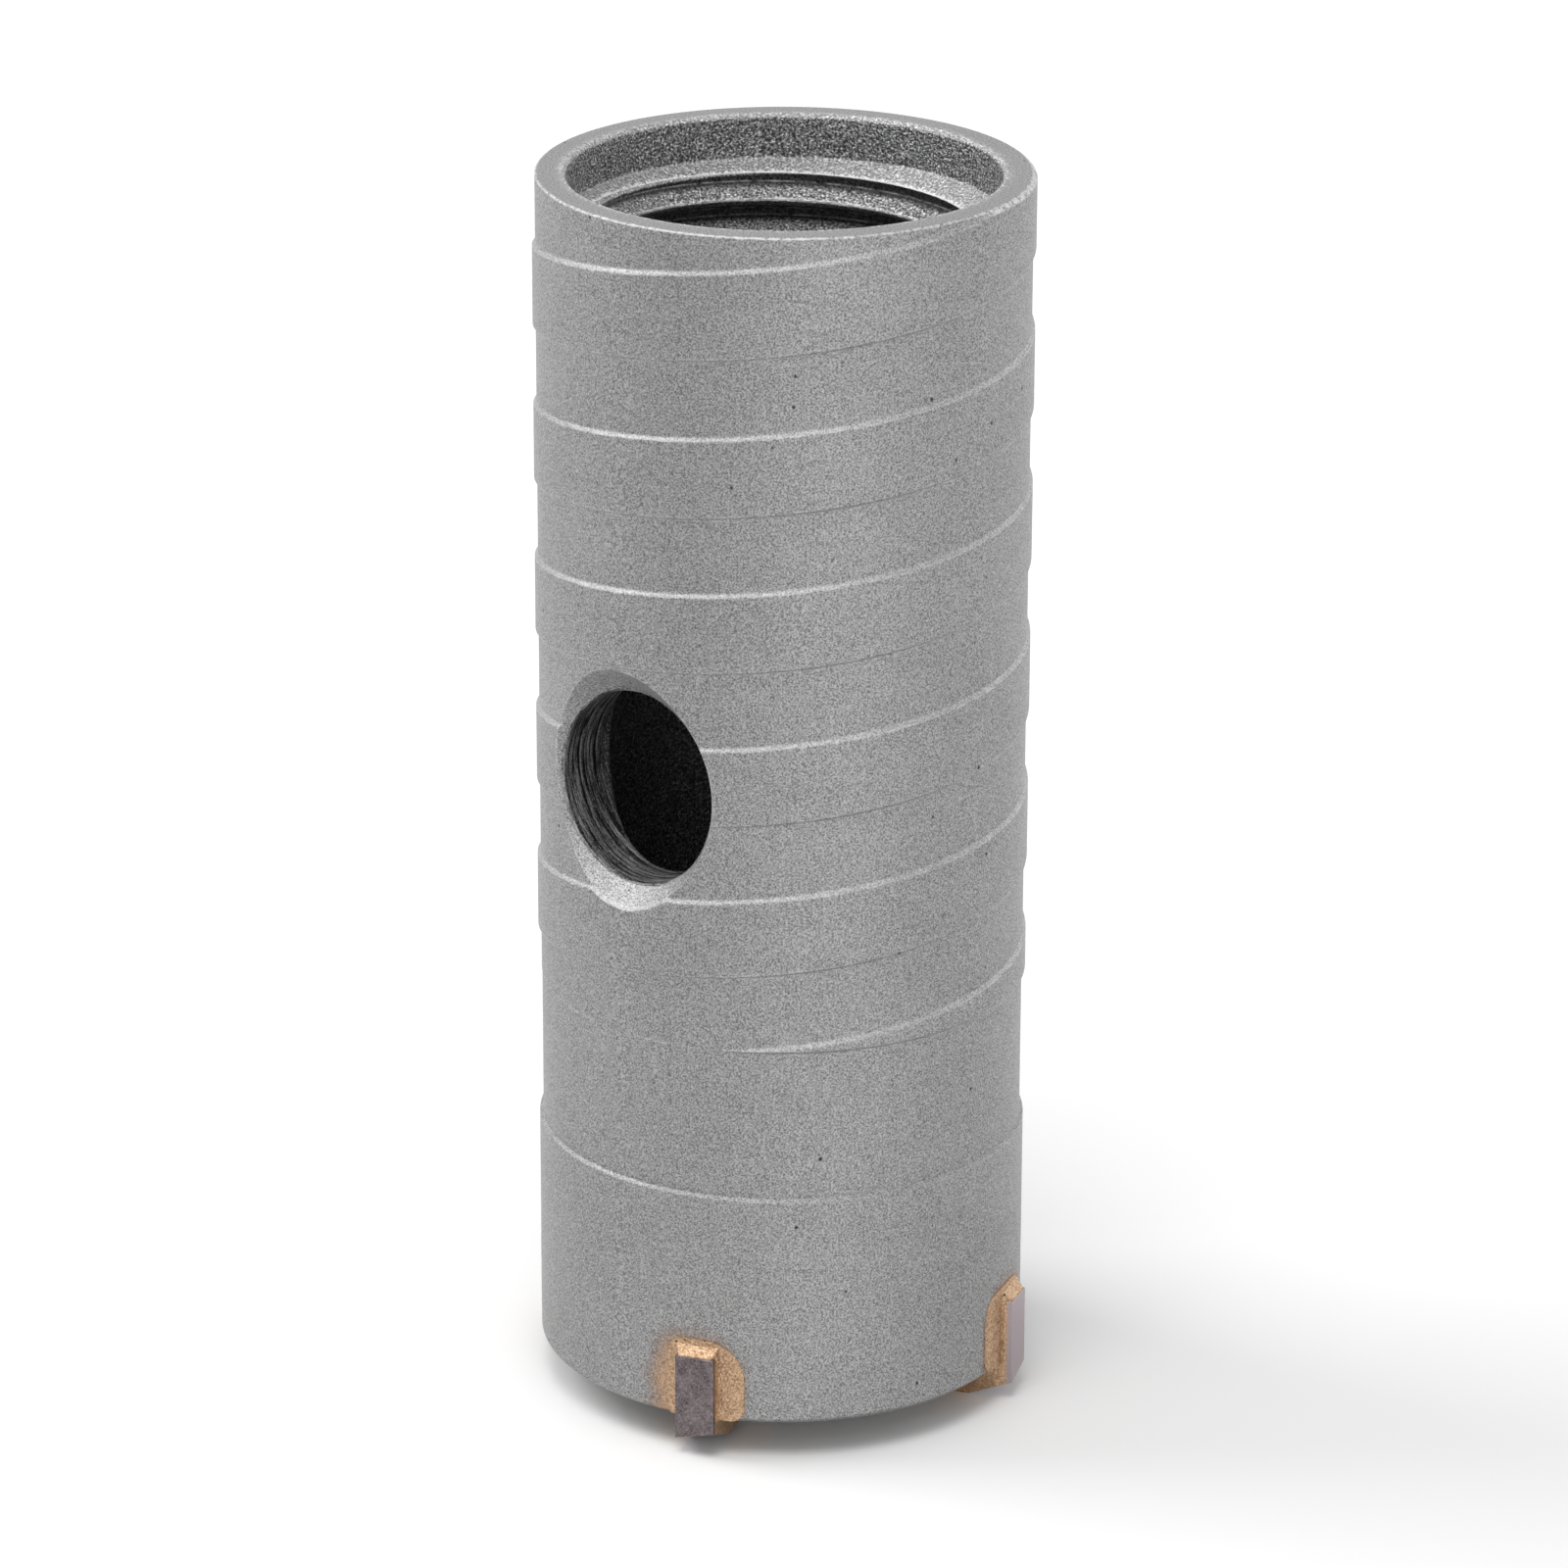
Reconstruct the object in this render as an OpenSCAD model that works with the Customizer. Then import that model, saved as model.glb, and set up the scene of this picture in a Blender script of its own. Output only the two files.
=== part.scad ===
// Carbide-tipped core drill bit for masonry, with a threaded socket for its shank.
// Millimetres, +Z up. The bit stands on its four tips with the socket mouth upward.
// The side hole looks along -Y, and angles round the body are taken from that side.

/* [Body] */
// Outside diameter over the raised spiral land
body_d = 28.5; // [27.5:0.1:32]
// Length of the steel body from crown rim to socket rim
body_len = 71.1; // [64:0.1:90]
// Diameter of the core chamber
chamber_d = 20.8; // [20.8:0.1:22]
// Edge break round the crown rim
crown_break = 0.3; // [0.1:0.05:0.5]
// Edge break round the outside of the socket rim
rim_break = 0.25; // [0.1:0.05:0.5]

/* [Socket] */
// Nominal thread diameter
thread_d = 22; // [21.5:0.1:22.5]
// Thread pitch
thread_pitch = 2; // [1.5:0.5:2.5]
// Diameter of the tapping hole, which the thread crests keep
tap_d = 20.4; // [19.8:0.1:20.4]
// Length of the tapped bore
thread_len = 14; // [10:0.5:20]
// Diameter of the plain register in the mouth
mouth_d = 24.66; // [23.5:0.02:25.2]
// Angle from the side hole at which a thread groove meets the step
thread_start = 141; // [0:1:360]
// Depth of the plain register
mouth_depth = 2.6; // [1.5:0.1:5]
// Edge break round the mouth
mouth_break = 0.2; // [0.1:0.05:0.3]
// Included angle of the drill-point step below the register
step_angle = 118; // [90:2:150]

/* [Spiral groove] */
// Lead of the spiral, one turn
flute_pitch = 9.1; // [8:0.1:11]
// Width of the groove at half its depth
flute_w = 4.5; // [3.5:0.1:5.5]
// Depth of the groove
flute_depth = 0.18; // [0.1:0.01:0.4]
// Height of a groove's middle above the crown rim, over the side hole
flute_z = 42.9; // [38:0.1:47]

/* [Relief ring] */
// Lower edge of the ring above the crown rim
ring_z = 14; // [12:0.1:16]
// Width of the ring
ring_w = 9.3; // [8.5:0.1:11]
// Depth of the ring
ring_depth = 0.21; // [0.1:0.01:0.4]

/* [Side hole] */
// Diameter of the dust and ejection hole
hole_d = 11.2; // [9:0.1:12]
// Height of its middle above the crown rim
hole_z = 37.6; // [34:0.1:42]
// How deep the countersink goes below the surface, on the hole's axis
sink_depth = 1.55; // [0.5:0.05:2]
// Included angle of the countersink
sink_angle = 90; // [80:5:100]

/* [Carbide tips] */
// Number of tips round the crown
tip_count = 4; // [4:1:4]
// Angle of the first tip from the side hole
tip_angle = 20.9; // [10:0.1:35]
// Thickness of a tip round the crown
tip_w = 2.34; // [1.8:0.02:3]
// How far a tip stands proud of the body
tip_proud = 0.65; // [0.3:0.05:1]
// How far a tip reaches into the core chamber
tip_inward = 0.6; // [0.3:0.05:1]
// How far the cutting edges stand below the crown rim
tip_drop = 2.2; // [1.8:0.1:3]
// How deep a tip is let into the crown
tip_seat = 4.1; // [3:0.1:6]
// Distance of the cutting edge's corner from the tip's outer face
tip_corner = 2.7; // [2:0.1:3.5]
// Height that the outer corner is ground away
tip_grind = 1.1; // [0.6:0.1:1.5]
// Relief angle behind the cutting edge
tip_relief = 12; // [5:1:15]

/* [Braze] */
// Thickness of the braze between a tip and its slot
braze_film = 0.12; // [0.05:0.01:0.2]
// Height of the braze fillet on the outside of the body
fillet_h = 0.4; // [0.2:0.05:0.6]
// Width of the braze fillet on each side of a tip
fillet_w = 1.1; // [0.6:0.1:1.5]

/* [Hidden] */
// Facets of a full circle in the preview; the exact build makes true circles
$fn = 144;
// Steps of the spiral in one turn
spiral_steps = 48;
// How far a cutting solid runs past what it cuts
over = 0.5;
body_r = body_d / 2;
chamber_r = chamber_d / 2;
tap_r = tap_d / 2;
thread_r = thread_d / 2;
mouth_r = mouth_d / 2;
crown_z = tip_drop;
rim_z = crown_z + body_len;
mouth_z = rim_z - mouth_depth;
step_drop = (mouth_r - tap_r) / tan(step_angle / 2);
thread_top = mouth_z - step_drop;
thread_bottom = thread_top - thread_len;
ring_bottom = crown_z + ring_z;
ring_top = ring_bottom + ring_w;
ring_r = body_r - ring_depth;
flute_r = body_r - flute_depth;
tip_in = chamber_r - tip_inward;
tip_out = body_r + tip_proud;
tip_h = tip_drop + tip_seat;
slot_w = tip_w + 2 * braze_film;
slot_top = tip_h + braze_film;

// One closed section carried up a right-hand screw line, as a groove cutter
module spiral(section, pitch, start_angle, start_z, turns) {
    n = len(section);
    steps = ceil(turns * spiral_steps);
    points = [
        for (i = [0 : steps], p = section)
            let (a = start_angle + i * 360 / spiral_steps)
            [p[0] * cos(a), p[0] * sin(a), start_z + p[1] + i * pitch / spiral_steps]
    ];
    sides = [
        for (i = [0 : steps - 1], k = [0 : n - 1])
            let (a = i * n + k, b = i * n + (k + 1) % n)
            each [[a, b + n, b], [a, a + n, b + n]]
    ];
    first = [for (k = [0 : n - 1]) k];
    last = [for (k = [0 : n - 1]) (steps + 1) * n - 1 - k];
    polyhedron(points, concat([first], sides, [last]), convexity = 10);
}

// Half width of the groove at radius r, with flanks at 45 degrees
function flute_half(r) = flute_w / 2 + r - (flute_r + body_r) / 2;

module flute_cut() {
    start_z = ring_top - ring_depth - flute_half(body_r + over);
    start_angle = -90 + 360 * (start_z - crown_z - flute_z) / flute_pitch;
    turns = (rim_z + flute_w - start_z) / flute_pitch;
    inner = flute_r - over;
    outer = body_r + over;
    section = [
        [inner, -flute_half(inner)],
        [inner, flute_half(inner)],
        [outer, flute_half(outer)],
        [outer, -flute_half(outer)]
    ];
    intersection() {
        spiral(section, flute_pitch, start_angle, start_z, turns);
        translate([0, 0, ring_bottom + ring_depth])
            difference() {
                cylinder(h = rim_z - ring_bottom, r = body_r + over / 2);
                translate([0, 0, -over])
                    cylinder(h = rim_z - ring_bottom + 2 * over, r = flute_r);
            }
    }
}

// Internal thread of 60 degrees, with its root flattened at the nominal diameter
module thread_cut() {
    flat = thread_pitch / 16;
    inner = tap_r - over;
    half = flat + (thread_r - inner) * tan(30);
    start_z = thread_bottom + half;
    turns = (thread_top - start_z) / thread_pitch + 1;
    start_angle = -90 + thread_start - 360 * (thread_top - start_z) / thread_pitch;
    section = [
        [inner, -half],
        [inner, half],
        [thread_r + flat / tan(30), 0]
    ];
    intersection() {
        spiral(section, thread_pitch, start_angle, start_z, turns);
        translate([0, 0, thread_bottom])
            cylinder(h = body_len, r = thread_r);
    }
}

// Side hole with its countersink, drilled from the outside
module hole_cut() {
    sink_r = hole_d / 2 + (sink_depth + over) * tan(sink_angle / 2);
    translate([0, 0, crown_z + hole_z])
        rotate([90, 0, 0]) {
            cylinder(h = body_r + over, d = hole_d);
            translate([0, 0, body_r - sink_depth])
                cylinder(h = sink_depth + over, r1 = hole_d / 2, r2 = sink_r);
        }
}

// Slot for one tip, in the tip's own axes: +X outward, +Y away from the cut
module slot_space() {
    translate([tip_in, -slot_w / 2, crown_z - over])
        cube([body_r + over - tip_in, slot_w, slot_top - crown_z + over]);
}

module core_body() {
    profile = [
        [chamber_r, crown_z],
        [body_r - crown_break, crown_z],
        [body_r, crown_z + crown_break],
        [body_r, ring_bottom],
        [ring_r, ring_bottom + ring_depth],
        [ring_r, ring_top - ring_depth],
        [body_r, ring_top],
        [body_r, rim_z - rim_break],
        [body_r - rim_break, rim_z],
        [mouth_r + mouth_break, rim_z],
        [mouth_r, rim_z - mouth_break],
        [mouth_r, mouth_z],
        [tap_r, thread_top],
        [tap_r, thread_bottom],
        [chamber_r, thread_bottom - (chamber_r - tap_r)]
    ];
    color("#9a9a9a")
        difference() {
            rotate_extrude()
                polygon(profile);
            flute_cut();
            thread_cut();
            hole_cut();
            for (i = [0 : tip_count - 1])
                rotate([0, 0, seat_angle(i)])
                    slot_space();
        }
}

function seat_angle(i) = -90 + tip_angle + i * 360 / tip_count;

// A flat carbide block, ground to a cutting edge on the side that leads
module tip_shape() {
    profile = [
        [tip_in - over, 0],
        [tip_out - tip_corner, 0],
        [tip_out, tip_grind],
        [tip_out + over, tip_grind + over],
        [tip_out + over, tip_h + tip_w],
        [tip_in - over, tip_h + tip_w]
    ];
    intersection() {
        translate([tip_in, -tip_w / 2, 0])
            cube([tip_out - tip_in, tip_w, tip_h]);
        translate([0, -tip_w / 2, 0])
            rotate([90 + tip_relief, 0, 0])
                translate([0, 0, -2 * tip_w])
                    linear_extrude(3 * tip_w + tip_h)
                        polygon(profile);
    }
}

module carbide_tip(i) {
    color("#6f6668")
        rotate([0, 0, seat_angle(i)])
            tip_shape();
}

// Outer fillet of braze: a low frustum that leans on the tip and dies into the body
module fillet_shape() {
    near = slot_w / 2;
    toe = near + fillet_w;
    toe_r = sqrt(body_r * body_r - toe * toe);
    top = body_r + fillet_h;
    root = toe_r - over;
    far = near + fillet_w * (top - root) / (top - toe_r);
    low = crown_z + crown_break;
    high = slot_top + far - near;
    points = [
        [root, -far, low],
        [root, far, low],
        [root, far, high],
        [root, -far, high],
        [top, -near, low],
        [top, near, low],
        [top, near, slot_top],
        [top, -near, slot_top]
    ];
    faces = [
        [0, 1, 2, 3],
        [7, 6, 5, 4],
        [4, 5, 1, 0],
        [5, 6, 2, 1],
        [6, 7, 3, 2],
        [7, 4, 0, 3]
    ];
    polyhedron(points, faces);
}

module braze(i) {
    color("#c8a070")
        rotate([0, 0, seat_angle(i)])
            difference() {
                union() {
                    fillet_shape();
                    intersection() {
                        slot_space();
                        translate([0, -slot_w, crown_z])
                            cube([body_r, 2 * slot_w, slot_top]);
                    }
                }
                difference() {
                    cylinder(h = rim_z, r = body_r);
                    slot_space();
                }
                cylinder(h = rim_z, r = chamber_r);
                translate([tip_in, -tip_w / 2, 0])
                    cube([tip_out - tip_in, tip_w, tip_h]);
            }
}

core_body();
carbide_tip(0);  // carbide_tip_1
carbide_tip(1);  // carbide_tip_2
carbide_tip(2);  // carbide_tip_3
carbide_tip(3);  // carbide_tip_4
braze(0);  // braze_1
braze(1);  // braze_2
braze(2);  // braze_3
braze(3);  // braze_4
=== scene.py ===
"""Studio scene of a carbide-tipped core drill bit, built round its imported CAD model."""
import math

import bpy
from mathutils import Matrix, Vector


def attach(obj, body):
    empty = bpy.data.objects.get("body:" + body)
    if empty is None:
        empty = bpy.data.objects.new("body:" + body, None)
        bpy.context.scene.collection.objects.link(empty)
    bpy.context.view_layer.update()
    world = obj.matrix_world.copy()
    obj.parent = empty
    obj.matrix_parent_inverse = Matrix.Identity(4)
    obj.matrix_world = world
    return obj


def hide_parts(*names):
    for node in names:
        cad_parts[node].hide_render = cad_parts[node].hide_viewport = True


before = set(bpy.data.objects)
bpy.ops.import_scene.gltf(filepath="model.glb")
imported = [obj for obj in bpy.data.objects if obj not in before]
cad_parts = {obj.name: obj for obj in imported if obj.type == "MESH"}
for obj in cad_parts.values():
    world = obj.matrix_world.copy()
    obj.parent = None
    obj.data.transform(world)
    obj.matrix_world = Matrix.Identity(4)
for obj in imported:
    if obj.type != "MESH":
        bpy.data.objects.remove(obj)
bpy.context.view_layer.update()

# Camera: the photograph's view, from above and to the right of the side hole. It is a long
# lens at a short distance for so small an object, so the sides draw in a little towards
# the crown.
CAMERA_DISTANCE = 0.38383
CAMERA_HEIGHT = 0.17814
CAMERA_AZIMUTH = math.radians(40.56)
CAMERA_DOWN = math.radians(20.2579)
CAMERA_ASIDE = math.radians(0.0124)
CAMERA_ROLL = math.radians(0.1804)

bpy.ops.object.camera_add()
camera = bpy.context.object
camera.name = "photo_camera"
camera.data.lens = 161.73
camera.data.sensor_width = 36.0
camera.data.clip_start = 0.01
camera.matrix_world = (
    Matrix.Rotation(CAMERA_AZIMUTH, 4, "Z")
    @ Matrix.Translation((0, -CAMERA_DISTANCE, CAMERA_HEIGHT))
    @ Matrix.Rotation(math.pi / 2 - CAMERA_DOWN, 4, "X")
    @ Matrix.Rotation(-CAMERA_ASIDE, 4, "Y")
    @ Matrix.Rotation(CAMERA_ROLL, 4, "Z")
)
bpy.context.scene.camera = camera

# Body: a tube turned from one bar of steel. The socket is bored and tapped from above, the
# core chamber from below, a shallow right-hand groove is turned on the outside, and a side
# hole is drilled and countersunk. The outside is bead-blasted, so it is matt and finely
# speckled, with every raised edge a little brighter from wear; the groove's up-facing flanks
# and the rim's edge also carry a painted highlight.
MM = 0.001
BODY_R = 14.25
CROWN_Z = 2.2
RIM_Z = 73.3
CHAMBER_R = 10.4
TAP_R = 10.2
THREAD_R = 11.3
THREAD_PITCH = 2.0
THREAD_ROOT = 0.45
THREAD_OVER = math.tan(math.radians(30))
THREAD_UNDER = math.tan(math.radians(35))
THREAD_TOP = 69.42
THREAD_BOTTOM = 55.42
THREAD_Z = 56.83
MOUTH_R = 12.33
MOUTH_Z = 70.7
RING_LOW = 16.2
RING_HIGH = 25.5
RING_R = 14.04
FLUTE_R = 14.07
FLUTE_W = 4.5
FLUTE_PITCH = 9.1
FLUTE_Z = 20.075
FLUTE_EASE = 0.07
FLUTE_LAST = 66.5
HOLE_R = 5.6
HOLE_Z = 39.8
SINK_R = 5.6
SINK_Y = 12.65
SINK_Z = 40.1
TOOL_END = 15.15
SLOT_W = 2.58
SLOT_TOP = 6.42
SLOT_ANGLES = [math.radians(-90 + 20.9 + 90 * i) for i in range(4)]
STEPS = 256

# Finish: the dimples are as wide as the beads leave them. Colours run from dark to light.
BEAD_FINE = 0.1
BEAD_COARSE = 0.14
EDGE_REACH = 0.16
STEEL = ("#6a6a6a", "#b2b2b2")
SOCKET = ("#4a4a4a", "#bababa")
# Painted shade for the thread's roots and the chamber.
SHADE_GREYS = ("#222222", "#585858")
DRILLED = ("#202020", "#d0d0d0")
STAIN_NEAR = ("#8e745c", "#ccae92")
STAIN_FAR = ("#6c5c54", "#a28e82")
# Painted glint: near white on the socket grit's highest grains, for sparkle.
PAINTED_GLINT = "#f6f6f6"
# Painted highlight on the ledge that faces up.
LEDGE_HIGHLIGHT = "#d6d6d6"
# Painted highlight on the thread's edges.
CREST_HIGHLIGHT = "#f0f0f0"
# Worn edges, and painted highlight on up-facing flanks and the rim's edge.
WORN_AND_LIT = "#e0e0e0"
PIT = "#404040"


def eased(corners, bends=3):
    """An outline with each corner rounded over its own ease: (radius, height, ease) in mm."""
    points = []
    for i, (r, z, ease) in enumerate(corners):
        here = Vector((r, z))
        before = Vector(corners[i - 1][:2]) - here
        after = Vector(corners[(i + 1) % len(corners)][:2]) - here
        if ease == 0:
            points.append((r, z))
            continue
        a = here + before.normalized() * ease
        b = here + after.normalized() * ease
        for k in range(bends + 1):
            t = k / bends
            points.append(tuple(a * (1 - t) ** 2 + here * 2 * t * (1 - t) + b * t * t))
    return points


def draw_outline(name, points):
    """Draws a closed outline in the XZ plane by extruding one vertex from point to point."""
    bpy.ops.object.select_all(action="DESELECT")
    bpy.ops.mesh.primitive_plane_add(size=MM)
    piece = bpy.context.object
    piece.name = piece.data.name = name
    bpy.ops.object.mode_set(mode="EDIT")
    bpy.ops.mesh.select_mode(type="VERT")
    bpy.ops.mesh.select_all(action="SELECT")
    bpy.ops.mesh.merge(type="CENTER")
    path = [Vector((r * MM, 0, z * MM)) for r, z in points]
    bpy.ops.transform.translate(value=path[0])
    for here, there in zip(path, path[1:] + path[:1]):
        bpy.ops.mesh.extrude_region_move(TRANSFORM_OT_translate={"value": there - here})
    bpy.ops.mesh.select_all(action="SELECT")
    bpy.ops.mesh.remove_doubles(threshold=0.002 * MM)
    return piece


def lathe(name, points, steps=STEPS):
    """Turns an outline round the Z axis into a closed solid."""
    piece = draw_outline(name, points)
    bpy.ops.mesh.spin(steps=steps, angle=2 * math.pi, center=(0, 0, 0), axis=(0, 0, 1))
    bpy.ops.mesh.select_all(action="SELECT")
    bpy.ops.mesh.remove_doubles(threshold=0.002 * MM)
    bpy.ops.mesh.normals_make_consistent(inside=False)
    bpy.ops.object.mode_set(mode="OBJECT")
    return piece


def chase(name, points, pitch, turns, steps=STEPS):
    """Carries an outline up a right-hand screw line into a closed solid."""
    piece = draw_outline(name, points)
    bpy.ops.object.mode_set(mode="OBJECT")
    screw = piece.modifiers.new("screw", "SCREW")
    screw.axis = "Z"
    screw.angle = 2 * math.pi
    screw.screw_offset = pitch * MM
    screw.iterations = turns
    screw.steps = screw.render_steps = steps
    screw.use_merge_vertices = False
    screw.use_smooth_shade = False
    bpy.ops.object.modifier_apply(modifier="screw")
    bpy.ops.object.mode_set(mode="EDIT")
    bpy.ops.mesh.select_all(action="SELECT")
    bpy.ops.mesh.fill_holes(sides=0)
    bpy.ops.mesh.select_all(action="SELECT")
    bpy.ops.mesh.normals_make_consistent(inside=False)
    bpy.ops.object.mode_set(mode="OBJECT")
    return piece


def combine(piece, tool, how="DIFFERENCE"):
    """Cuts, joins or crosses a closed solid with another, and clears the other away."""
    bpy.ops.object.select_all(action="DESELECT")
    bpy.context.view_layer.objects.active = piece
    piece.select_set(True)
    boolean = piece.modifiers.new("combine", "BOOLEAN")
    boolean.operation = how
    boolean.solver = "EXACT"
    boolean.object = tool
    bpy.ops.object.modifier_apply(modifier="combine")
    bpy.data.objects.remove(tool)


def choose(piece, kind, wanted):
    """Opens a piece in edit mode with only the wanted points, edges or faces selected."""
    bpy.ops.object.mode_set(mode="EDIT")
    bpy.ops.mesh.select_mode(type=kind)
    bpy.ops.mesh.select_all(action="DESELECT")
    bpy.ops.object.mode_set(mode="OBJECT")
    mesh = piece.data
    parts = {"VERT": mesh.vertices, "EDGE": mesh.edges, "FACE": mesh.polygons}[kind]
    for part in parts:
        part.select = wanted(part)
    bpy.ops.object.mode_set(mode="EDIT")


body = lathe(
    "core_body_blasted",
    eased([
        (CHAMBER_R, CROWN_Z, 0.1),
        (BODY_R - 0.3, CROWN_Z, 0.1),
        (BODY_R, CROWN_Z + 0.3, 0.1),
        (BODY_R, RING_LOW, 0.04),
        (RING_R, RING_LOW + 0.1, 0.04),
        (RING_R, RING_HIGH - 0.21, 0.05),
        (BODY_R, RING_HIGH, 0.05),
        (BODY_R, RIM_Z - 0.25, 0.08),
        (BODY_R - 0.25, RIM_Z, 0.08),
        (MOUTH_R + 0.2, RIM_Z, 0.06),
        (MOUTH_R, RIM_Z - 0.2, 0.06),
        (MOUTH_R, MOUTH_Z, 0.08),
        (TAP_R, THREAD_TOP, 0.05),
        (TAP_R, THREAD_BOTTOM, 0.05),
        (CHAMBER_R, THREAD_BOTTOM - 0.2, 0.05),
    ]),
)

for name, outline, height in (
    (
        "hole_tool",
        [(0, 5), (HOLE_R, 5), (HOLE_R, TOOL_END), (0, TOOL_END)],
        HOLE_Z,
    ),
    (
        "sink_tool",
        [
            (0, SINK_Y - 1),
            (SINK_R - 1, SINK_Y - 1),
            (SINK_R + TOOL_END - SINK_Y, TOOL_END),
            (0, TOOL_END),
        ],
        SINK_Z,
    ),
):
    tool = lathe(name, outline, steps=128)
    tool.rotation_euler = (math.pi / 2, 0, 0)
    tool.location = (0, 0, height * MM)
    bpy.ops.object.transform_apply(location=True, rotation=True, scale=True)
    combine(body, tool)


def block(name, x, y, z):
    """A closed block between two limits in each direction, in mm."""
    bpy.ops.object.select_all(action="DESELECT")
    bpy.ops.mesh.primitive_cube_add(size=1)
    piece = bpy.context.object
    piece.name = piece.data.name = name
    piece.scale = Vector((x[1] - x[0], y[1] - y[0], z[1] - z[0])) * MM
    piece.location = Vector((x[0] + x[1], y[0] + y[1], z[0] + z[1])) * MM / 2
    bpy.ops.object.transform_apply(location=True, rotation=True, scale=True)
    return piece


def turn(piece, angle):
    """Turns a finished piece about the bit's axis, and leaves its own axes unturned."""
    bpy.ops.object.select_all(action="DESELECT")
    bpy.context.view_layer.objects.active = piece
    piece.select_set(True)
    piece.rotation_euler = (0, 0, angle)
    bpy.ops.object.transform_apply(location=True, rotation=True, scale=True)


for angle in SLOT_ANGLES:
    slot_tool = block(
        "slot_tool", (CHAMBER_R - 1, BODY_R + 1), (-SLOT_W / 2, SLOT_W / 2), (CROWN_Z - 1, SLOT_TOP)
    )
    turn(slot_tool, angle)
    combine(body, slot_tool)

# The groove's edges are rolled over: the cutter flares out where it leaves the body. The
# last turn was cut a little steeper than the rest.
flute_half = FLUTE_W / 2
flute_lip = (BODY_R - FLUTE_R) / 2
flute_tool = chase(
    "flute_tool",
    eased(
        [
            (FLUTE_R, FLUTE_Z - flute_half + flute_lip, FLUTE_EASE),
            (FLUTE_R, FLUTE_Z + flute_half - flute_lip, FLUTE_EASE),
            (BODY_R, FLUTE_Z + flute_half + flute_lip, FLUTE_EASE),
            (BODY_R + 0.3, FLUTE_Z + flute_half + 1.3, 0),
            (BODY_R + 0.3, FLUTE_Z - flute_half - 1.3, 0),
            (BODY_R, FLUTE_Z - flute_half - flute_lip, FLUTE_EASE),
        ],
        bends=2,
    ),
    FLUTE_PITCH,
    7,
)
choose(flute_tool, "VERT", lambda point: point.co.z > FLUTE_LAST * MM)
bpy.ops.transform.resize(value=(1, 1, 1.1), center_override=(0, 0, FLUTE_LAST * MM))
bpy.ops.object.mode_set(mode="OBJECT")
combine(body, flute_tool)

thread_in = TAP_R - 0.1
thread_deep = THREAD_R - thread_in
thread_tool = chase(
    "thread_tool",
    [
        (thread_in, THREAD_Z - THREAD_UNDER * thread_deep),
        (thread_in, THREAD_Z + THREAD_ROOT + THREAD_OVER * thread_deep),
        (THREAD_R, THREAD_Z + THREAD_ROOT),
        (THREAD_R, THREAD_Z),
    ],
    THREAD_PITCH,
    8,
)
combine(body, thread_tool)

bpy.ops.object.select_all(action="DESELECT")
bpy.context.view_layer.objects.active = body
body.select_set(True)
bpy.ops.object.mode_set(mode="EDIT")
bpy.ops.mesh.select_all(action="SELECT")
bpy.ops.mesh.remove_doubles(threshold=0.0005 * MM)
bpy.ops.object.mode_set(mode="OBJECT")
bpy.ops.object.shade_smooth_by_angle(angle=math.radians(30))
weights = body.modifiers.new("weights", "WEIGHTED_NORMAL")
weights.mode = "FACE_AREA"
weights.keep_sharp = True
bpy.ops.object.modifier_apply(modifier="weights")


def linear(code, alpha=1.0):
    """An sRGB hex colour as the linear colour that the shader takes."""
    parts = [int(code[i : i + 2], 16) / 255 for i in (1, 3, 5)]
    parts = [p / 12.92 if p <= 0.04045 else ((p + 0.055) / 1.055) ** 2.4 for p in parts]
    return (*parts, alpha)


def add_node(tree, kind, *values, inputs=None, **settings):
    """Adds one node and sets what it is told. The values fill its live inputs in order, and a
    node among them is linked by its first live output."""
    made = tree.nodes.new("ShaderNode" + kind)
    for name, value in settings.items():
        setattr(made, name, value)
    given = list(zip([socket for socket in made.inputs if socket.enabled], values))
    given += [(made.inputs[name], value) for name, value in (inputs or {}).items()]
    for socket, value in given:
        if isinstance(value, bpy.types.Node):
            value = next(output for output in value.outputs if output.enabled)
        if isinstance(value, bpy.types.NodeSocket):
            tree.links.new(value, socket)
        else:
            socket.default_value = value
    return made


def empty_material(name):
    """A material whose tree is still empty."""
    material = bpy.data.materials.new(name)
    material.use_nodes = True
    material.node_tree.nodes.clear()
    return material, material.node_tree


def in_mm(tree):
    """A point's place on the bit in mm."""
    local = add_node(tree, "TexCoord").outputs["Object"]
    return add_node(tree, "VectorMath", local, 1000.0, operation="SCALE")


def bit_frame(tree, place):
    """The parts of a point's place, its distance from the axis, and how far it lies to the
    side of the nearest seat's middle."""
    split = add_node(tree, "SeparateXYZ", place).outputs
    flat = add_node(tree, "CombineXYZ", split["X"], split["Y"])
    radius = add_node(tree, "VectorMath", flat, operation="LENGTH")
    swing = add_node(tree, "Math", split["Y"], split["X"], operation="ARCTAN2")
    swing = add_node(tree, "Math", swing, SLOT_ANGLES[0], operation="SUBTRACT")
    swing = add_node(tree, "Math", swing, math.pi / 4, -math.pi / 4, operation="WRAP")
    sine = add_node(tree, "Math", swing, operation="SINE")
    aside = add_node(tree, "Math", sine, radius, operation="MULTIPLY")
    return split, radius, aside


def worn_edges(tree, place, rounded):
    """Where the rounded normals show an edge: patchily 1 there and 0 on the faces."""
    face = add_node(tree, "NewGeometry").outputs["Normal"]
    along = add_node(tree, "VectorMath", rounded, face, operation="DOT_PRODUCT")
    edge = add_node(tree, "MapRange", along, 0.99, 0.92, 0.0, 1.0)
    patchy = add_node(tree, "TexNoise", place, 1 / 0.8, 3.0, 0.8)
    patchy = add_node(tree, "MapRange", patchy, 0.38, 0.62, 0.05, 0.9)
    return add_node(tree, "Math", edge, patchy, operation="MULTIPLY")


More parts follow.
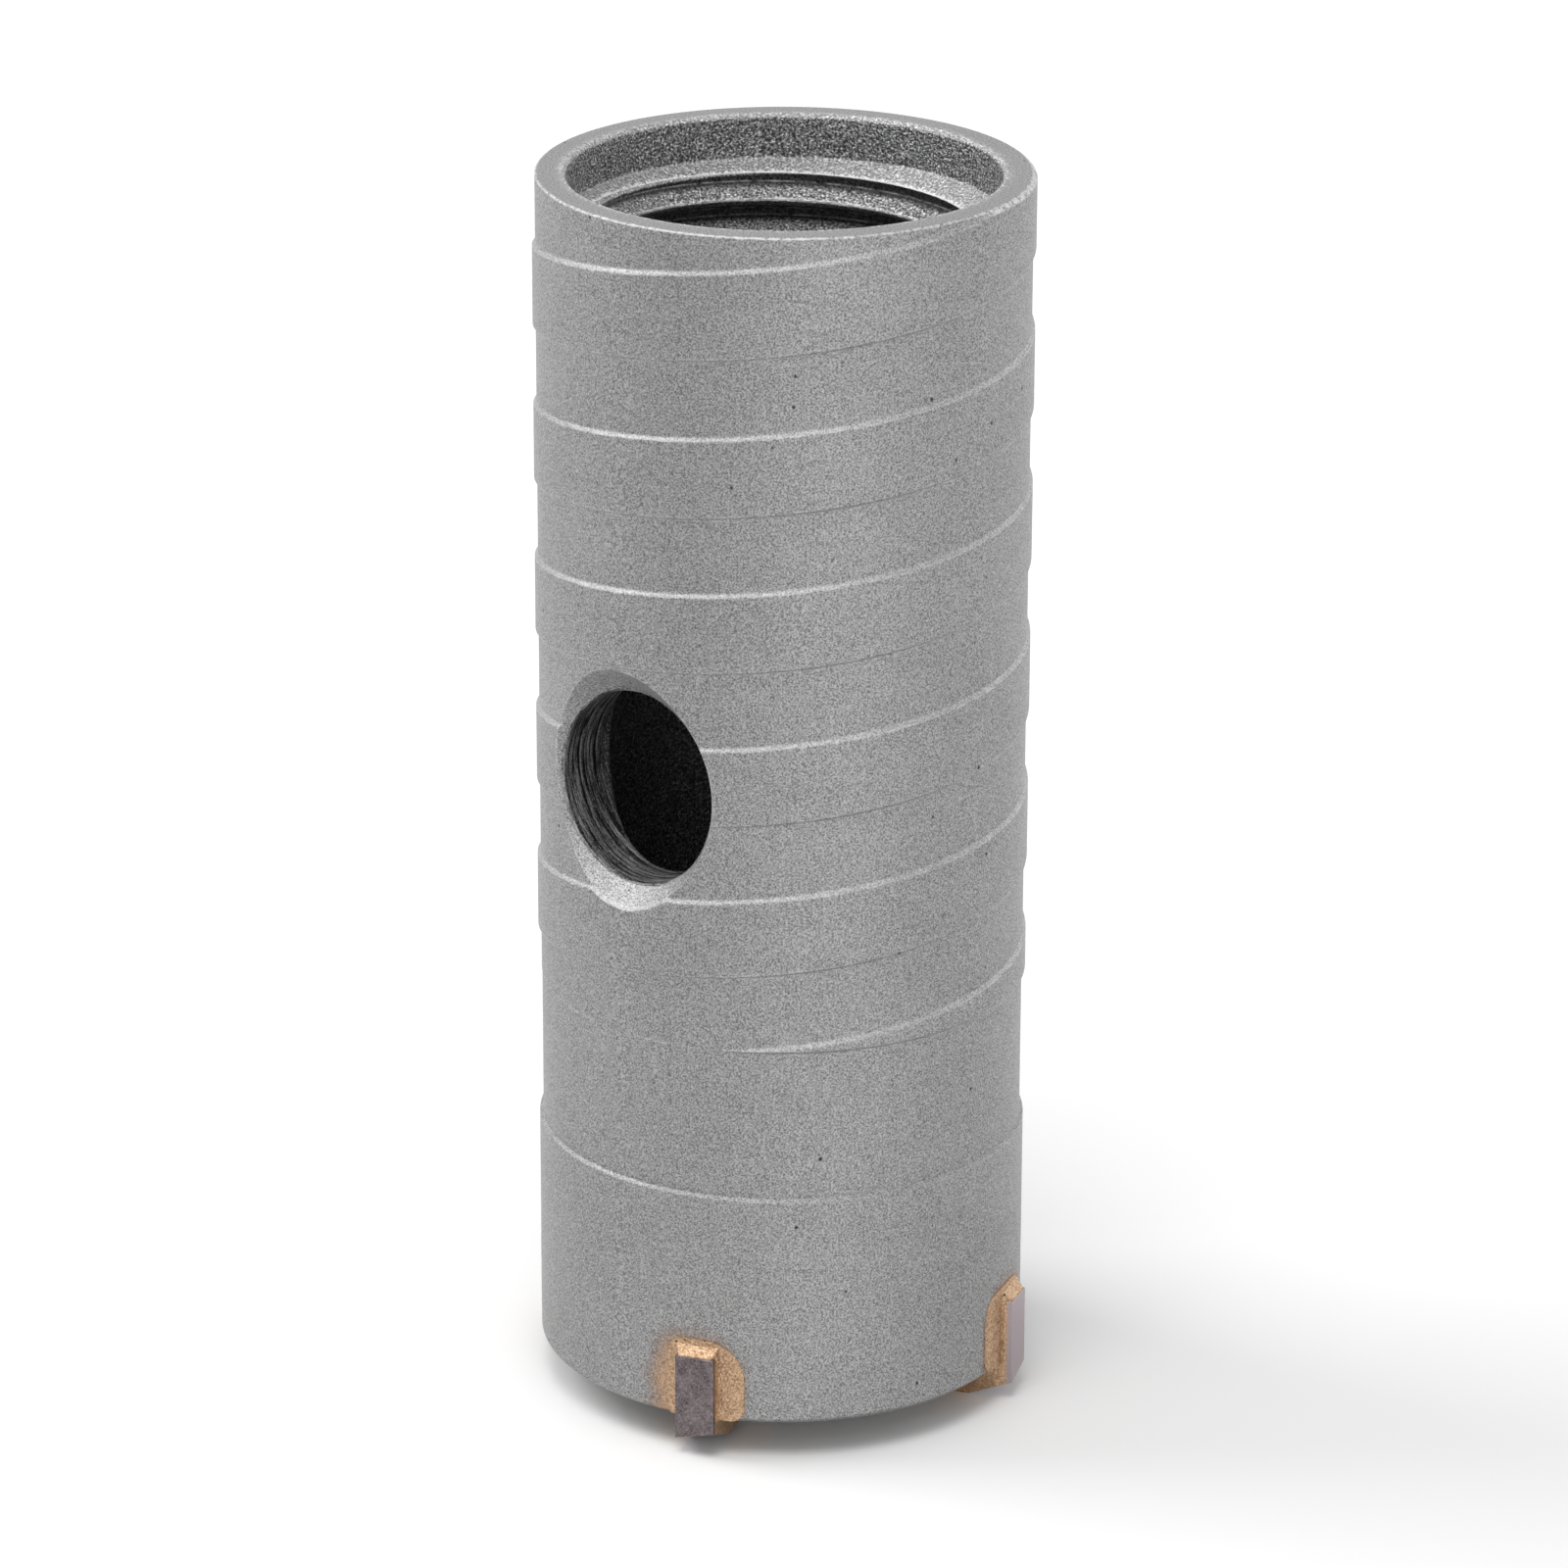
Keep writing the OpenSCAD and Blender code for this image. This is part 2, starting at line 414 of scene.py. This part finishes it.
def thread_rise(tree, split, radius):
    """A point's height above the top flank of the nearest thread groove under it."""
    swing = add_node(tree, "Math", split["Y"], split["X"], operation="ARCTAN2")
    rise = add_node(tree, "Math", radius, THREAD_OVER, split["Z"], operation="MULTIPLY_ADD")
    lead = THREAD_PITCH / (2 * math.pi)
    rise = add_node(tree, "Math", swing, -lead, rise, operation="MULTIPLY_ADD")
    start = THREAD_Z + THREAD_ROOT + THREAD_OVER * THREAD_R + 0.02
    rise = add_node(tree, "Math", rise, start, operation="SUBTRACT")
    return add_node(tree, "Math", rise, THREAD_PITCH, 0.0, operation="WRAP")


def past_seat(tree, split, aside):
    """How far a point lies from the middle of the nearest slot's upper part, with round
    corners, and less on the side that leads."""
    shifted = add_node(tree, "Math", aside, 0.3, operation="ADD")
    wide = add_node(tree, "Math", shifted, operation="ABSOLUTE")
    wide = add_node(tree, "Math", wide, SLOT_W / 2 - 1.1, operation="SUBTRACT")
    wide = add_node(tree, "Math", wide, 0.0, operation="MAXIMUM")
    high = add_node(tree, "Math", split["Z"], SLOT_TOP - 1.5, operation="SUBTRACT")
    high = add_node(tree, "Math", high, 0.0, operation="MAXIMUM")
    away = add_node(tree, "CombineXYZ", wide, high)
    return add_node(tree, "VectorMath", away, operation="LENGTH")


def blasted_steel(name):
    """Bead-blasted steel: overlapping dimples, fine outside and coarse down the socket, with
    painted glints on the socket's grit and bright edges from wear. Painted highlights lighten
    the ledge and the groove's flanks that face up, the thread's edges and the rim's edge. The
    thread's roots and the chamber are painted dark for the shade in them. The side hole's wall
    is scored round by its drill. Round each tip the braze has stained the steel tan, and
    browner where the stain runs out."""
    material, tree = empty_material(name)
    place = in_mm(tree)
    split, radius, aside = bit_frame(tree, place)
    facing = add_node(tree, "NewGeometry").outputs["Normal"]
    facing = add_node(tree, "SeparateXYZ", facing).outputs["Z"]
    rounded = add_node(tree, "Bevel", EDGE_REACH * MM, samples=2)
    ragged = add_node(tree, "TexNoise", place, 1 / 0.3, 3.0, 0.7)

    # Dimples, with faint clouds and turning marks over them.
    outside = add_node(tree, "MapRange", radius, MOUTH_R + 0.27, MOUTH_R + 0.67)
    fine = add_node(tree, "TexNoise", place, 1 / BEAD_FINE, 2.0, 0.6)
    coarse = add_node(tree, "TexNoise", place, 1 / BEAD_COARSE, 2.0, 0.6)
    grit = add_node(tree, "Mix", outside, coarse, fine, data_type="FLOAT")
    depth = add_node(tree, "MapRange", outside, 0.0, 1.0, 3.2, 0.8)
    relief = add_node(tree, "Math", grit, depth, operation="MULTIPLY")
    cloud = add_node(tree, "TexNoise", place, 1 / 6.0, 3.0, 0.6)
    turned = add_node(tree, "VectorMath", place, (0.12, 0.12, 0.9), operation="MULTIPLY")
    turned = add_node(tree, "TexNoise", turned, 1.0, 3.0, 0.6)
    level = add_node(tree, "MapRange", grit, 0.33, 0.67, -0.2, 0.95)
    level = add_node(tree, "Math", cloud, 0.15, level, operation="MULTIPLY_ADD")
    level = add_node(tree, "Math", turned, 0.15, level, operation="MULTIPLY_ADD")
    bare = add_node(tree, "Mix", level, *map(linear, STEEL), data_type="RGBA")

    # Down the socket, coarser, with painted glints on the grit's peaks and a painted highlight on
    # the ledge that faces up.
    spark = add_node(tree, "MapRange", grit, 0.4, 0.62)
    inner = add_node(tree, "Mix", spark, *map(linear, SOCKET), data_type="RGBA")
    # Painted glints: the grit's highest grains are coloured near white, for the sparkle down the
    # socket.
    glint_mask = add_node(tree, "MapRange", grit, 0.61, 0.67)
    inner = add_node(tree, "Mix", glint_mask, inner, linear(PAINTED_GLINT), data_type="RGBA")
    slope = (MOUTH_Z - THREAD_TOP) / (MOUTH_R - TAP_R)
    slant = add_node(tree, "Math", radius, -slope, split["Z"], operation="MULTIPLY_ADD")
    ledge = THREAD_TOP - slope * TAP_R
    # Painted highlight: where the ledge at the top of the thread faces up, its colour is lightened
    # as if lit from above.
    ledge_highlight = add_node(tree, "MapRange", facing, 0.3, 0.6, 0.0, 0.25)
    on_ledge = add_node(tree, "MapRange", slant, ledge - 0.14, ledge - 0.06)
    ledge_highlight = add_node(tree, "Math", ledge_highlight, on_ledge, operation="MULTIPLY")
    inner = add_node(tree, "Mix", ledge_highlight, inner, linear(LEDGE_HIGHLIGHT), data_type="RGBA")
    bare = add_node(tree, "Mix", outside, inner, bare, data_type="RGBA")

    # Painted shade: the thread's roots, and the chamber at half strength, are darkened in colour
    # for the shade down in them.
    socket = add_node(tree, "MapRange", radius, MOUTH_R - 0.23, MOUTH_R - 0.53)
    above = add_node(tree, "MapRange", split["Z"], THREAD_BOTTOM - 0.1, THREAD_BOTTOM)
    socket = add_node(tree, "Math", socket, above, operation="MULTIPLY")
    root = add_node(tree, "MapRange", radius, THREAD_R - 0.45, THREAD_R - 0.15)
    root = add_node(tree, "Math", root, socket, operation="MULTIPLY")
    under = add_node(tree, "MapRange", slant, ledge - 0.06, ledge - 0.14)
    root = add_node(tree, "Math", root, under, operation="MULTIPLY")
    chamber = add_node(tree, "MapRange", radius, CHAMBER_R + 0.3, CHAMBER_R + 0.1, 0.0, 0.5)
    below = add_node(tree, "MapRange", split["Z"], THREAD_BOTTOM + 0.2, THREAD_BOTTOM - 0.2)
    chamber = add_node(tree, "Math", chamber, below, operation="MULTIPLY")
    painted_shade = add_node(tree, "Math", root, chamber, operation="MAXIMUM")
    shade_tone = add_node(tree, "Mix", level, *map(linear, SHADE_GREYS), data_type="RGBA")
    bare = add_node(tree, "Mix", painted_shade, bare, shade_tone, data_type="RGBA")

    # Painted highlight: the thread's edges are coloured bright, in a ragged line, as if catching
    # the light.
    rise = thread_rise(tree, split, radius)
    rise = add_node(tree, "Math", ragged, rise, operation="ADD")
    crest_highlight = add_node(tree, "MapRange", rise, 0.74, 0.62, 0.0, 0.75)
    crest_highlight = add_node(tree, "Math", crest_highlight, socket, operation="MULTIPLY")
    bare = add_node(tree, "Mix", crest_highlight, bare, linear(CREST_HIGHLIGHT), data_type="RGBA")

    # The side hole's wall, as far in as the front of the chamber.
    from_hole = add_node(
        tree, "VectorMath", place, (1, 0, 1), (0, 0, -HOLE_Z), operation="MULTIPLY_ADD"
    )
    from_hole = add_node(tree, "VectorMath", from_hole, operation="LENGTH")
    wall = add_node(tree, "MapRange", from_hole, HOLE_R + 0.12, HOLE_R + 0.06)
    front = add_node(tree, "MapRange", split["Y"], -9.0, -9.5)
    wall = add_node(tree, "Math", wall, front, operation="MULTIPLY")
    scored = add_node(tree, "VectorMath", place, (0.3, 5, 0.3), operation="MULTIPLY")
    scored = add_node(tree, "TexNoise", scored, 1.0, 4.0, 0.8)
    scored = add_node(tree, "Math", fine, 0.35, scored, operation="MULTIPLY_ADD")
    drawn = add_node(tree, "MapRange", scored, 0.6, 0.86)
    drilled = add_node(tree, "Mix", drawn, *map(linear, DRILLED), data_type="RGBA")
    bare = add_node(tree, "Mix", wall, bare, drilled, data_type="RGBA")
    deep = add_node(tree, "Math", scored, 2.0, operation="MULTIPLY")
    relief = add_node(tree, "Mix", wall, relief, deep, data_type="FLOAT")

    # The braze's stain.
    away = past_seat(tree, split, aside)
    run = add_node(tree, "TexNoise", place, 1 / 1.3, 4.0, 0.7)
    stain = add_node(tree, "Math", run, -2.0, away, operation="MULTIPLY_ADD")
    near = add_node(tree, "MapRange", stain, 0.6, 1.6, 1.0, 0.0)
    far = add_node(tree, "MapRange", stain, 1.1, 2.2, 0.8, 0.0)
    brown = add_node(tree, "Mix", level, *map(linear, STAIN_FAR), data_type="RGBA")
    tan = add_node(tree, "Mix", level, *map(linear, STAIN_NEAR), data_type="RGBA")
    colour = add_node(tree, "Mix", far, bare, brown, data_type="RGBA")
    colour = add_node(tree, "Mix", near, colour, tan, data_type="RGBA")

    # Worn edges, less round the ring. Painted highlight: outer surfaces that face up, such as the
    # groove's upper flanks, are lightened a little, and a ragged line round the rim's edge more, as
    # if lit from above.
    edge = worn_edges(tree, place, rounded)
    lip_highlight = add_node(tree, "MapRange", facing, 0.15, 0.55, 0.0, 0.12)
    outer = add_node(tree, "MapRange", radius, FLUTE_R - 0.05, FLUTE_R)
    lip_highlight = add_node(tree, "Math", lip_highlight, outer, operation="MULTIPLY")
    wall_top = add_node(tree, "MapRange", split["Z"], RIM_Z - 0.5, RIM_Z - 0.6)
    lip_highlight = add_node(tree, "Math", lip_highlight, wall_top, operation="MULTIPLY")
    wear_and_highlight = add_node(tree, "Math", edge, lip_highlight, operation="MAXIMUM")
    sharp = add_node(tree, "MapRange", split["Z"], RING_LOW + 1, RING_HIGH + 3, 0.3, 1.0)
    wear_and_highlight = add_node(tree, "Math", wear_and_highlight, sharp, operation="MULTIPLY")
    brim_highlight = add_node(tree, "Math", radius, split["Z"], operation="ADD")
    brim_highlight = add_node(tree, "Math", ragged, 0.4, brim_highlight, operation="MULTIPLY_ADD")
    brim_at = BODY_R + RIM_Z - 0.1
    brim_highlight = add_node(tree, "MapRange", brim_highlight, brim_at, brim_at + 0.06, 0.0, 0.6)
    wear_and_highlight = add_node(tree, "Math", wear_and_highlight, brim_highlight, operation="MAXIMUM")
    colour = add_node(tree, "Mix", wear_and_highlight, colour, linear(WORN_AND_LIT), data_type="RGBA")

    # A few dark pits are left of the bar's skin.
    pit = add_node(tree, "TexVoronoi", place, 1 / 2.6)
    pit = add_node(tree, "Math", ragged, 0.06, pit, operation="MULTIPLY_ADD")
    pit = add_node(tree, "MapRange", pit, 0.085, 0.06)
    pit = add_node(tree, "Math", pit, outside, operation="MULTIPLY")
    colour = add_node(tree, "Mix", pit, colour, linear(PIT), data_type="RGBA")

    normal = add_node(
        tree, "Bump", 0.8, 0.06 * MM, inputs={"Height": relief, "Normal": rounded}
    )
    steel = add_node(
        tree,
        "BsdfPrincipled",
        inputs={"Base Color": colour, "Metallic": 1.0, "Roughness": 0.5, "Normal": normal},
    )
    add_node(tree, "OutputMaterial", steel)
    return material


body.data.materials.clear()
body.data.materials.append(blasted_steel("bead_blasted_steel"))
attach(body, "root")
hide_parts("core_body")

# Tips: four flat blocks of sintered carbide, brazed into the slots. Each is ground to a
# cutting edge on the side that leads and to a chamfer on its outer corner, and its edges
# are only just broken. The dull brown-grey skin is left from sintering.
TIP_W = 2.34
TIP_TOP = 6.3
TIP_IN = 9.8
TIP_OUT = 14.9
TIP_CORNER = 2.7
TIP_GRIND = 1.1
TIP_RELIEF = math.radians(12)
TIP_EDGE = 0.04
CARBIDE = ("#4e4648", "#8c8284")
# Painted light: the carbide's colour towards the +X side.
CARBIDE_LIT_SIDE = "#aca0a4"
CARBIDE_EDGE = "#b8acae"
BRASS_SKIN = ("#987a60", "#e2c09c")


def bisect_off(point, normal):
    """Grinds away all that lies on the outer side of a plane."""
    bpy.ops.mesh.select_all(action="SELECT")
    bpy.ops.mesh.bisect(
        plane_co=Vector(point) * MM, plane_no=normal, use_fill=True, clear_outer=True
    )


def carbide(name):
    """Sintered carbide: dull and mottled, lighter along its edges, and painted lighter towards
    the +X side as if lit more there, with a brass skin where the braze ran down its sides."""
    material, tree = empty_material(name)
    place = in_mm(tree)
    split, radius, aside = bit_frame(tree, place)
    rounded = add_node(tree, "Bevel", 0.06 * MM, samples=2)
    edge = worn_edges(tree, place, rounded)
    mottle = add_node(tree, "TexNoise", place, 1 / 0.9, 3.0, 0.6)
    grain = add_node(tree, "TexNoise", place, 1 / 0.12, 2.0, 0.6)
    tone = add_node(tree, "Math", mottle, 0.8, grain, operation="MULTIPLY_ADD")
    level = add_node(tree, "MapRange", tone, 0.65, 1.15)
    face = add_node(tree, "Mix", level, *map(linear, CARBIDE), data_type="RGBA")
    # Painted light: the faces are lightened towards +X, so the tip at the right looks more brightly
    # lit.
    lit_side = add_node(tree, "MapRange", split["X"], 6.0, 13.0, 0.0, 0.9)
    face = add_node(tree, "Mix", lit_side, face, linear(CARBIDE_LIT_SIDE), data_type="RGBA")
    face = add_node(tree, "Mix", edge, face, linear(CARBIDE_EDGE), data_type="RGBA")
    speck = add_node(tree, "MapRange", grain, 0.3, 0.7)
    skin = add_node(tree, "Mix", speck, *map(linear, BRASS_SKIN), data_type="RGBA")
    aside = add_node(tree, "Math", aside, operation="ABSOLUTE")
    side = add_node(tree, "MapRange", aside, TIP_W / 2 - 0.06, TIP_W / 2 - 0.02)
    led = add_node(tree, "MapRange", radius, TIP_OUT - 0.2, TIP_OUT - 0.4)
    side = add_node(tree, "Math", side, led, operation="MULTIPLY")
    colour = add_node(tree, "Mix", side, face, skin, data_type="RGBA")
    normal = add_node(tree, "Bump", 0.4, 0.03 * MM, inputs={"Height": tone, "Normal": rounded})
    metal = add_node(
        tree,
        "BsdfPrincipled",
        inputs={"Base Color": colour, "Metallic": 1.0, "Roughness": 0.45, "Normal": normal},
    )
    add_node(tree, "OutputMaterial", metal)
    return material


tip_finish = carbide("sintered_carbide")
for number, angle in enumerate(SLOT_ANGLES, 1):
    tip = block(f"tip_{number}", (TIP_IN, TIP_OUT), (-TIP_W / 2, TIP_W / 2), (0, TIP_TOP))
    bpy.ops.object.mode_set(mode="EDIT")
    bisect_off((TIP_OUT, -TIP_W / 2, 0), (0, math.sin(TIP_RELIEF), -math.cos(TIP_RELIEF)))
    back = Vector((0, math.cos(TIP_RELIEF), math.sin(TIP_RELIEF)))
    corner = Vector((TIP_CORNER, 0, TIP_GRIND))
    bisect_off((TIP_OUT - TIP_CORNER, -TIP_W / 2, 0), back.cross(corner).normalized())
    bpy.ops.mesh.select_all(action="SELECT")
    bpy.ops.mesh.normals_make_consistent(inside=False)
    bpy.ops.mesh.bevel(offset=TIP_EDGE * MM, segments=3, profile=0.5)
    bpy.ops.object.mode_set(mode="OBJECT")
    bpy.ops.object.shade_smooth_by_angle(angle=math.radians(30))
    turn(tip, angle)
    tip.data.materials.append(tip_finish)
    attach(tip, "root")
    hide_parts(f"carbide_tip_{number}")

# Braze: brass that ran round each tip in the furnace. It fills the slot, lies in a thin patch
# on the body beside it, and slopes up to the tip's top. It is pitted, and blasted with the
# body, so it is as matt as the steel.
BRAZE_IN = 10.4
BRAZE_SPREAD = [(0.5, 1.5), (2.0, 1.3), (0.9, 1.4), (1.2, 1.2)]
BRAZE_OVER = 0.8
BRAZE_RISE = 0.07
BRAZE_SLOPE = 1.32
BRAZE_FOOT = 0.3
BRASS = ("#866a50", "#dcbc9c")
BRASS_PIT = "#4a382a"


def brass(name):
    """Blasted brass: pale gold, grainy and pitted, and browner in its hollows."""
    material, tree = empty_material(name)
    place = in_mm(tree)
    rounded = add_node(tree, "Bevel", 0.12 * MM, samples=2)
    grain = add_node(tree, "TexNoise", place, 1 / 0.12, 2.0, 0.6)
    lump = add_node(tree, "TexNoise", place, 1 / 0.7, 2.0, 0.5)
    cell = add_node(tree, "TexVoronoi", place, 1 / 0.7)
    pit = add_node(tree, "Math", grain, 0.2, cell, operation="MULTIPLY_ADD")
    pit = add_node(tree, "MapRange", pit, 0.19, 0.27)
    level = add_node(tree, "MapRange", grain, 0.3, 0.7, -0.2, 0.8)
    level = add_node(tree, "Math", lump, 0.4, level, operation="MULTIPLY_ADD")
    gold = add_node(tree, "Mix", level, *map(linear, BRASS), data_type="RGBA")
    colour = add_node(tree, "Mix", pit, linear(BRASS_PIT), gold, data_type="RGBA")
    relief = add_node(tree, "Math", pit, 1.5, grain, operation="MULTIPLY_ADD")
    relief = add_node(tree, "Math", lump, 3.0, relief, operation="MULTIPLY_ADD")
    normal = add_node(tree, "Bump", 0.8, 0.05 * MM, inputs={"Height": relief, "Normal": rounded})
    metal = add_node(
        tree,
        "BsdfPrincipled",
        inputs={"Base Color": colour, "Metallic": 1.0, "Roughness": 0.5, "Normal": normal},
    )
    add_node(tree, "OutputMaterial", metal)
    return material


braze_finish = brass("blasted_brass")
for number, (angle, (lead, trail)) in enumerate(zip(SLOT_ANGLES, BRAZE_SPREAD), 1):
    braze = block(
        f"braze_fillet_{number}",
        (BODY_R - 1.2, BODY_R + 1),
        (-SLOT_W / 2 - lead, SLOT_W / 2 + trail),
        (CROWN_Z + 0.1, SLOT_TOP + BRAZE_OVER),
    )
    # Its four corners are rounded: side, end and ease.
    corners = (
        (-1, 1, 0.7 + 0.5 * lead),
        (1, 1, 2.3),
        (-1, -1, 0.4 * lead),
        (1, -1, 0.8),
    )
    for side, end, ease in corners:
        choose(
            braze,
            "EDGE",
            lambda edge: all(
                point.y * side > 0.5 * SLOT_W * MM and (point.z - 0.6 * SLOT_TOP * MM) * end > 0
                for point in (braze.data.vertices[i].co for i in edge.vertices)
            )
            and len({round(braze.data.vertices[i].co.x, 6) for i in edge.vertices}) == 2,
        )
        bpy.ops.mesh.bevel(offset=ease * MM, segments=6, profile=0.5)
        bpy.ops.object.mode_set(mode="OBJECT")
    shell = lathe(
        "shell",
        [
            (BODY_R - 1, CROWN_Z - 1),
            (BODY_R + BRAZE_RISE, CROWN_Z - 1),
            (BODY_R + BRAZE_RISE, SLOT_TOP + 2),
            (BODY_R - 1, SLOT_TOP + 2),
        ],
    )
    combine(braze, shell, "INTERSECT")

    slope = block(
        "slope", (BODY_R - 0.5, TIP_OUT), (-2, 2), (TIP_TOP - 0.2, SLOT_TOP + BRAZE_OVER)
    )
    bpy.ops.object.mode_set(mode="EDIT")
    down = Vector((SLOT_TOP + BRAZE_OVER - BRAZE_FOOT - TIP_TOP, 0, TIP_OUT - 0.05 - BODY_R))
    bisect_off((TIP_OUT - 0.05, 0, TIP_TOP), down.normalized())
    for side in (-1, 1):
        bisect_off((BODY_R, side * BRAZE_SLOPE, 0), Vector((0.5, side * 0.85, 0)).normalized())
    bpy.ops.object.mode_set(mode="OBJECT")
    combine(braze, slope, "UNION")

    film = block("film", (BRAZE_IN, BODY_R + 0.1), (-SLOT_W / 2, SLOT_W / 2), (CROWN_Z, SLOT_TOP))
    combine(braze, film, "UNION")
    room = block("room", (TIP_IN - 1, TIP_OUT + 1), (-TIP_W / 2, TIP_W / 2), (-1, TIP_TOP))
    combine(braze, room)
    bpy.ops.object.shade_smooth_by_angle(angle=math.radians(40))
    turn(braze, angle)
    braze.data.materials.clear()
    braze.data.materials.append(braze_finish)
    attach(braze, "root")
    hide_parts(f"braze_{number}")

# Studio: the floor is a pale sheet and the room is white, as in a product photograph. The
# camera and the metal both see them white; the lamps are four soft boxes.
PAPER = "#f4f4f4"
ROOM_LIGHT = 0.62

bpy.ops.object.select_all(action="DESELECT")
bpy.ops.mesh.primitive_plane_add(size=4)
floor = bpy.context.object
floor.name = "floor"
paper, tree = empty_material("white_paper_sweep")
sheet = add_node(tree, "BsdfDiffuse", linear(PAPER))
add_node(tree, "OutputMaterial", sheet)
floor.data.materials.append(paper)

world = bpy.data.worlds.new("white_room")
bpy.context.scene.world = world
world.use_nodes = True
tree = world.node_tree
tree.nodes.clear()
rays = add_node(tree, "LightPath").outputs
seen = add_node(
    tree, "Math", rays["Is Camera Ray"], rays["Is Glossy Ray"], operation="MAXIMUM"
)
strength = add_node(tree, "MapRange", seen, 0.0, 1.0, ROOM_LIGHT, 1.0)
air = add_node(tree, "Background", (1, 1, 1, 1), strength)
add_node(tree, "OutputWorld", air)


def soft_box(name, place, size, power):
    """A square area lamp that faces the middle of the object."""
    lamp = bpy.data.lights.new(name, "AREA")
    lamp.size = size
    lamp.energy = power
    box = bpy.data.objects.new(name, lamp)
    bpy.context.scene.collection.objects.link(box)
    box.location = place
    aim = Vector((0, 0, 0.04)) - Vector(place)
    box.rotation_euler = aim.to_track_quat("-Z", "Y").to_euler()


def from_camera(side, height, distance):
    """A point by its angle right of the camera and its elevation, in degrees."""
    turn = CAMERA_AZIMUTH + math.radians(side)
    up = math.radians(height)
    return (
        distance * math.cos(up) * math.sin(turn),
        -distance * math.cos(up) * math.cos(turn),
        distance * math.sin(up),
    )


soft_box("overhead_box", from_camera(-18, 70, 1.4), 0.64, 6.8)
soft_box("left_box", from_camera(-105, 42, 1.2), 0.62, 6.2)
soft_box("front_box", from_camera(26, 6, 1.0), 0.4, 1.3)
soft_box("right_box", from_camera(122, 14, 0.9), 0.4, 0.8)

# A dark card stands out of the picture at the front left, where only the metal sees it. It
# takes some light off the upper wall.
CARD_SIDE = -46
CARD_AWAY = 0.2
CARD_W = 0.15
CARD_LOW = 0.02
CARD_HIGH = 0.1
FELT = "#202020"

bpy.ops.object.select_all(action="DESELECT")
bpy.ops.mesh.primitive_plane_add(size=1)
card = bpy.context.object
card.name = "dark_card"
card.scale = (CARD_W, CARD_HIGH - CARD_LOW, 1)
card.location = from_camera(CARD_SIDE, 0, CARD_AWAY)
card.location.z = (CARD_LOW + CARD_HIGH) / 2
card.rotation_euler = (math.pi / 2, 0, CAMERA_AZIMUTH + math.radians(CARD_SIDE))
bpy.ops.object.transform_apply(location=True, rotation=True, scale=True)
card.visible_camera = card.visible_diffuse = card.visible_shadow = False
felt, tree = empty_material("black_felt")
pile = add_node(tree, "BsdfDiffuse", linear(FELT))
add_node(tree, "OutputMaterial", pile)
card.data.materials.append(felt)

bpy.context.scene.view_settings.view_transform = "Standard"
